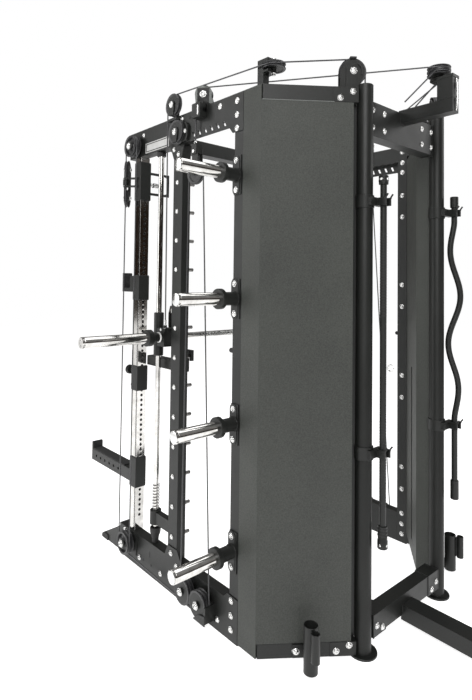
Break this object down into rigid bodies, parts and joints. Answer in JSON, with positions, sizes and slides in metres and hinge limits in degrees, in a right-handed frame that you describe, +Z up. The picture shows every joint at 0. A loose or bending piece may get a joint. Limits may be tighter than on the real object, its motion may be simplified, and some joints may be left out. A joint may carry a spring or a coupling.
{
  "type": "smith machine",
  "caption": "Cable trainer and guided bar rack: side frames, angled weight stack corners, plate horns and a bar on guide rods.",
  "frame": {"origin": "on the floor, on the symmetry plane, midway along the overall depth", "axes": "+Z up, +Y towards the rear leg, +X towards the side with the stored straight bar"},
  "size_m": [2.08, 2.13, 2.31],
  "materials": {
    "cable": "smooth black jacket",
    "chrome": "polished",
    "frame": "satin black powder coat",
    "iron": "matt black paint",
    "panel": "textured dark grey powder coat",
    "pulley": "satin black",
    "rubber": "matt black",
    "steel": "bright zinc"
  },
  "bodies": {
    "frame": {"bar_socket_l": "frame", "bar_socket_r": "frame", "base_beam_l": "frame", "base_beam_r": "frame", "front_crossbeam": "frame", "front_upright_l": "chrome", "front_upright_r": "chrome", "guide_rod_l": "chrome", "guide_rod_r": "chrome", "inner_cover_l": "panel", "inner_cover_r": "panel", "lat_cable_l": "cable", "lat_cable_r": "cable", "outer_shroud_l": "panel", "outer_shroud_r": "panel", "rear_base_frame": "frame", "rear_post_l": "frame", "rear_post_r": "frame", "rear_top_frame": "frame", "smith_cable_l": "cable", "smith_cable_r": "cable", "smith_upright_l": "frame", "smith_upright_r": "frame", "stack_cable_l": "cable", "stack_cable_r": "cable", "stack_frame_l": "frame", "stack_frame_r": "frame", "top_beam_l": "frame", "top_beam_r": "frame", "trainer_cable_l": "cable", "trainer_cable_r": "cable", "weight_stack_l": "iron", "weight_stack_r": "iron"},
    "smith_carriages": {"smith_carriage_r": "frame", "smith_carriage_l": "frame"},
    "smith_bar": {"smith_bar": "chrome"},
    "smith_sleeve_r": {"smith_sleeve_r": "chrome"},
    "pulley_trolley_r": {"pulley_trolley_r": "frame"},
    "swivel_head_r": {"swivel_head_r": "pulley"},
    "j_hook_r": {"j_hook_r": "frame"},
    "accessory_mount_r": {"accessory_mount_r": "frame"},
    "spotter_arm_r": {"spotter_arm_r": "frame"},
    "safety_stop_r": {"safety_stop_r": "frame"},
    "stack_head_r": {"stack_head_r": "iron"},
    "front_top_pulley_r": {"front_top_pulley_r": "pulley"},
    "front_bottom_pulley_r": {"front_bottom_pulley_r": "pulley"},
    "rear_top_pulley_r": {"rear_top_pulley_r": "pulley"},
    "smith_sleeve_l": {"smith_sleeve_l": "chrome"},
    "pulley_trolley_l": {"pulley_trolley_l": "frame"},
    "swivel_head_l": {"swivel_head_l": "pulley"},
    "j_hook_l": {"j_hook_l": "frame"},
    "accessory_mount_l": {"accessory_mount_l": "frame"},
    "spotter_arm_l": {"spotter_arm_l": "frame"},
    "safety_stop_l": {"safety_stop_l": "frame"},
    "stack_head_l": {"stack_head_l": "iron"},
    "front_top_pulley_l": {"front_top_pulley_l": "pulley"},
    "front_bottom_pulley_l": {"front_bottom_pulley_l": "pulley"},
    "rear_top_pulley_l": {"rear_top_pulley_l": "pulley"},
    "straight_bar": {"straight_bar": "frame"},
    "curl_bar": {"curl_bar": "frame"}
  },
  "joints": [
    {"name": "smith_lift", "type": "slide", "parent": "frame", "child": "smith_carriages", "axis": [0, 0, 1], "range_m": [-0.09, 0.6775], "deforming": ["smith_cable_r", "smith_cable_l"]},
    {"name": "bar_roll", "type": "hinge", "parent": "smith_carriages", "child": "smith_bar", "pos_m": [0, -0.375, 1.1445], "axis": [1, 0, 0], "range_deg": [-60, 0]},
    {"name": "sleeve_spin_r", "type": "hinge", "parent": "smith_bar", "child": "smith_sleeve_r", "pos_m": [0.69, -0.375, 1.1445], "axis": [1, 0, 0], "continuous": true},
    {"name": "trolley_slide_r", "type": "slide", "parent": "frame", "child": "pulley_trolley_r", "axis": [0, 0, 1], "range_m": [-0.3, 0]},
    {"name": "head_swivel_r", "type": "hinge", "parent": "pulley_trolley_r", "child": "swivel_head_r", "pos_m": [0.676, -0.667, 1.92], "axis": [0, 0, 1], "range_deg": [-20, 90]},
    {"name": "j_hook_slide_r", "type": "slide", "parent": "frame", "child": "j_hook_r", "axis": [0, 0, 1], "range_m": [-0.2, 0.05]},
    {"name": "accessory_slide_r", "type": "slide", "parent": "frame", "child": "accessory_mount_r", "axis": [0, 0, 1], "range_m": [-0.2, 0.05]},
    {"name": "spotter_slide_r", "type": "slide", "parent": "frame", "child": "spotter_arm_r", "axis": [0, 0, 1], "range_m": [-0.15, 0.1]},
    {"name": "safety_stop_slide_r", "type": "slide", "parent": "frame", "child": "safety_stop_r", "axis": [0, 0, 1], "range_m": [-0.4065, 0]},
    {"name": "stack_lift_r", "type": "slide", "parent": "frame", "child": "stack_head_r", "axis": [0, 0, 1], "range_m": [0, 0.95]},
    {"name": "front_top_pulley_spin_r", "type": "hinge", "parent": "frame", "child": "front_top_pulley_r", "pos_m": [0.669, -0.615, 2.1], "axis": [1, 0, 0], "continuous": true},
    {"name": "front_bottom_pulley_spin_r", "type": "hinge", "parent": "frame", "child": "front_bottom_pulley_r", "pos_m": [0.669, -0.615, 0.102], "axis": [1, 0, 0], "continuous": true},
    {"name": "rear_top_pulley_spin_r", "type": "hinge", "parent": "frame", "child": "rear_top_pulley_r", "pos_m": [0.63, -0.072, 2.2345], "axis": [0.7707, 0.6372, 0], "continuous": true},
    {"name": "sleeve_spin_l", "type": "hinge", "parent": "smith_bar", "child": "smith_sleeve_l", "pos_m": [-0.69, -0.375, 1.1445], "axis": [1, 0, 0], "continuous": true},
    {"name": "trolley_slide_l", "type": "slide", "parent": "frame", "child": "pulley_trolley_l", "axis": [0, 0, 1], "range_m": [-0.3, 0]},
    {"name": "head_swivel_l", "type": "hinge", "parent": "pulley_trolley_l", "child": "swivel_head_l", "pos_m": [-0.676, -0.667, 1.92], "axis": [0, 0, 1], "range_deg": [-90, 20]},
    {"name": "j_hook_slide_l", "type": "slide", "parent": "frame", "child": "j_hook_l", "axis": [0, 0, 1], "range_m": [-0.2, 0.05]},
    {"name": "accessory_slide_l", "type": "slide", "parent": "frame", "child": "accessory_mount_l", "axis": [0, 0, 1], "range_m": [-0.2, 0.05]},
    {"name": "spotter_slide_l", "type": "slide", "parent": "frame", "child": "spotter_arm_l", "axis": [0, 0, 1], "range_m": [-0.15, 0.1]},
    {"name": "safety_stop_slide_l", "type": "slide", "parent": "frame", "child": "safety_stop_l", "axis": [0, 0, 1], "range_m": [-0.4065, 0]},
    {"name": "stack_lift_l", "type": "slide", "parent": "frame", "child": "stack_head_l", "axis": [0, 0, 1], "range_m": [0, 0.95]},
    {"name": "front_top_pulley_spin_l", "type": "hinge", "parent": "frame", "child": "front_top_pulley_l", "pos_m": [-0.669, -0.615, 2.1], "axis": [1, 0, 0], "continuous": true},
    {"name": "front_bottom_pulley_spin_l", "type": "hinge", "parent": "frame", "child": "front_bottom_pulley_l", "pos_m": [-0.669, -0.615, 0.102], "axis": [1, 0, 0], "continuous": true},
    {"name": "rear_top_pulley_spin_l", "type": "hinge", "parent": "frame", "child": "rear_top_pulley_l", "pos_m": [-0.63, -0.072, 2.2345], "axis": [0.7707, -0.6372, 0], "continuous": true},
    {"name": "straight_bar_off", "type": "slide", "parent": "frame", "child": "straight_bar", "axis": [0, 1, 0], "range_m": [0, 0.25]},
    {"name": "curl_bar_off", "type": "slide", "parent": "frame", "child": "curl_bar", "axis": [0, 1, 0], "range_m": [0, 0.25]}
  ],
  "couplings": [
    {"joint": "front_top_pulley_spin_r", "follows": "stack_lift_r", "rad_per_m": 38.46},
    {"joint": "front_bottom_pulley_spin_r", "follows": "stack_lift_r", "rad_per_m": -38.46},
    {"joint": "rear_top_pulley_spin_r", "follows": "stack_lift_r", "rad_per_m": -28.99},
    {"joint": "front_top_pulley_spin_l", "follows": "stack_lift_l", "rad_per_m": 38.46},
    {"joint": "front_bottom_pulley_spin_l", "follows": "stack_lift_l", "rad_per_m": -38.46},
    {"joint": "rear_top_pulley_spin_l", "follows": "stack_lift_l", "rad_per_m": -28.99}
  ]
}
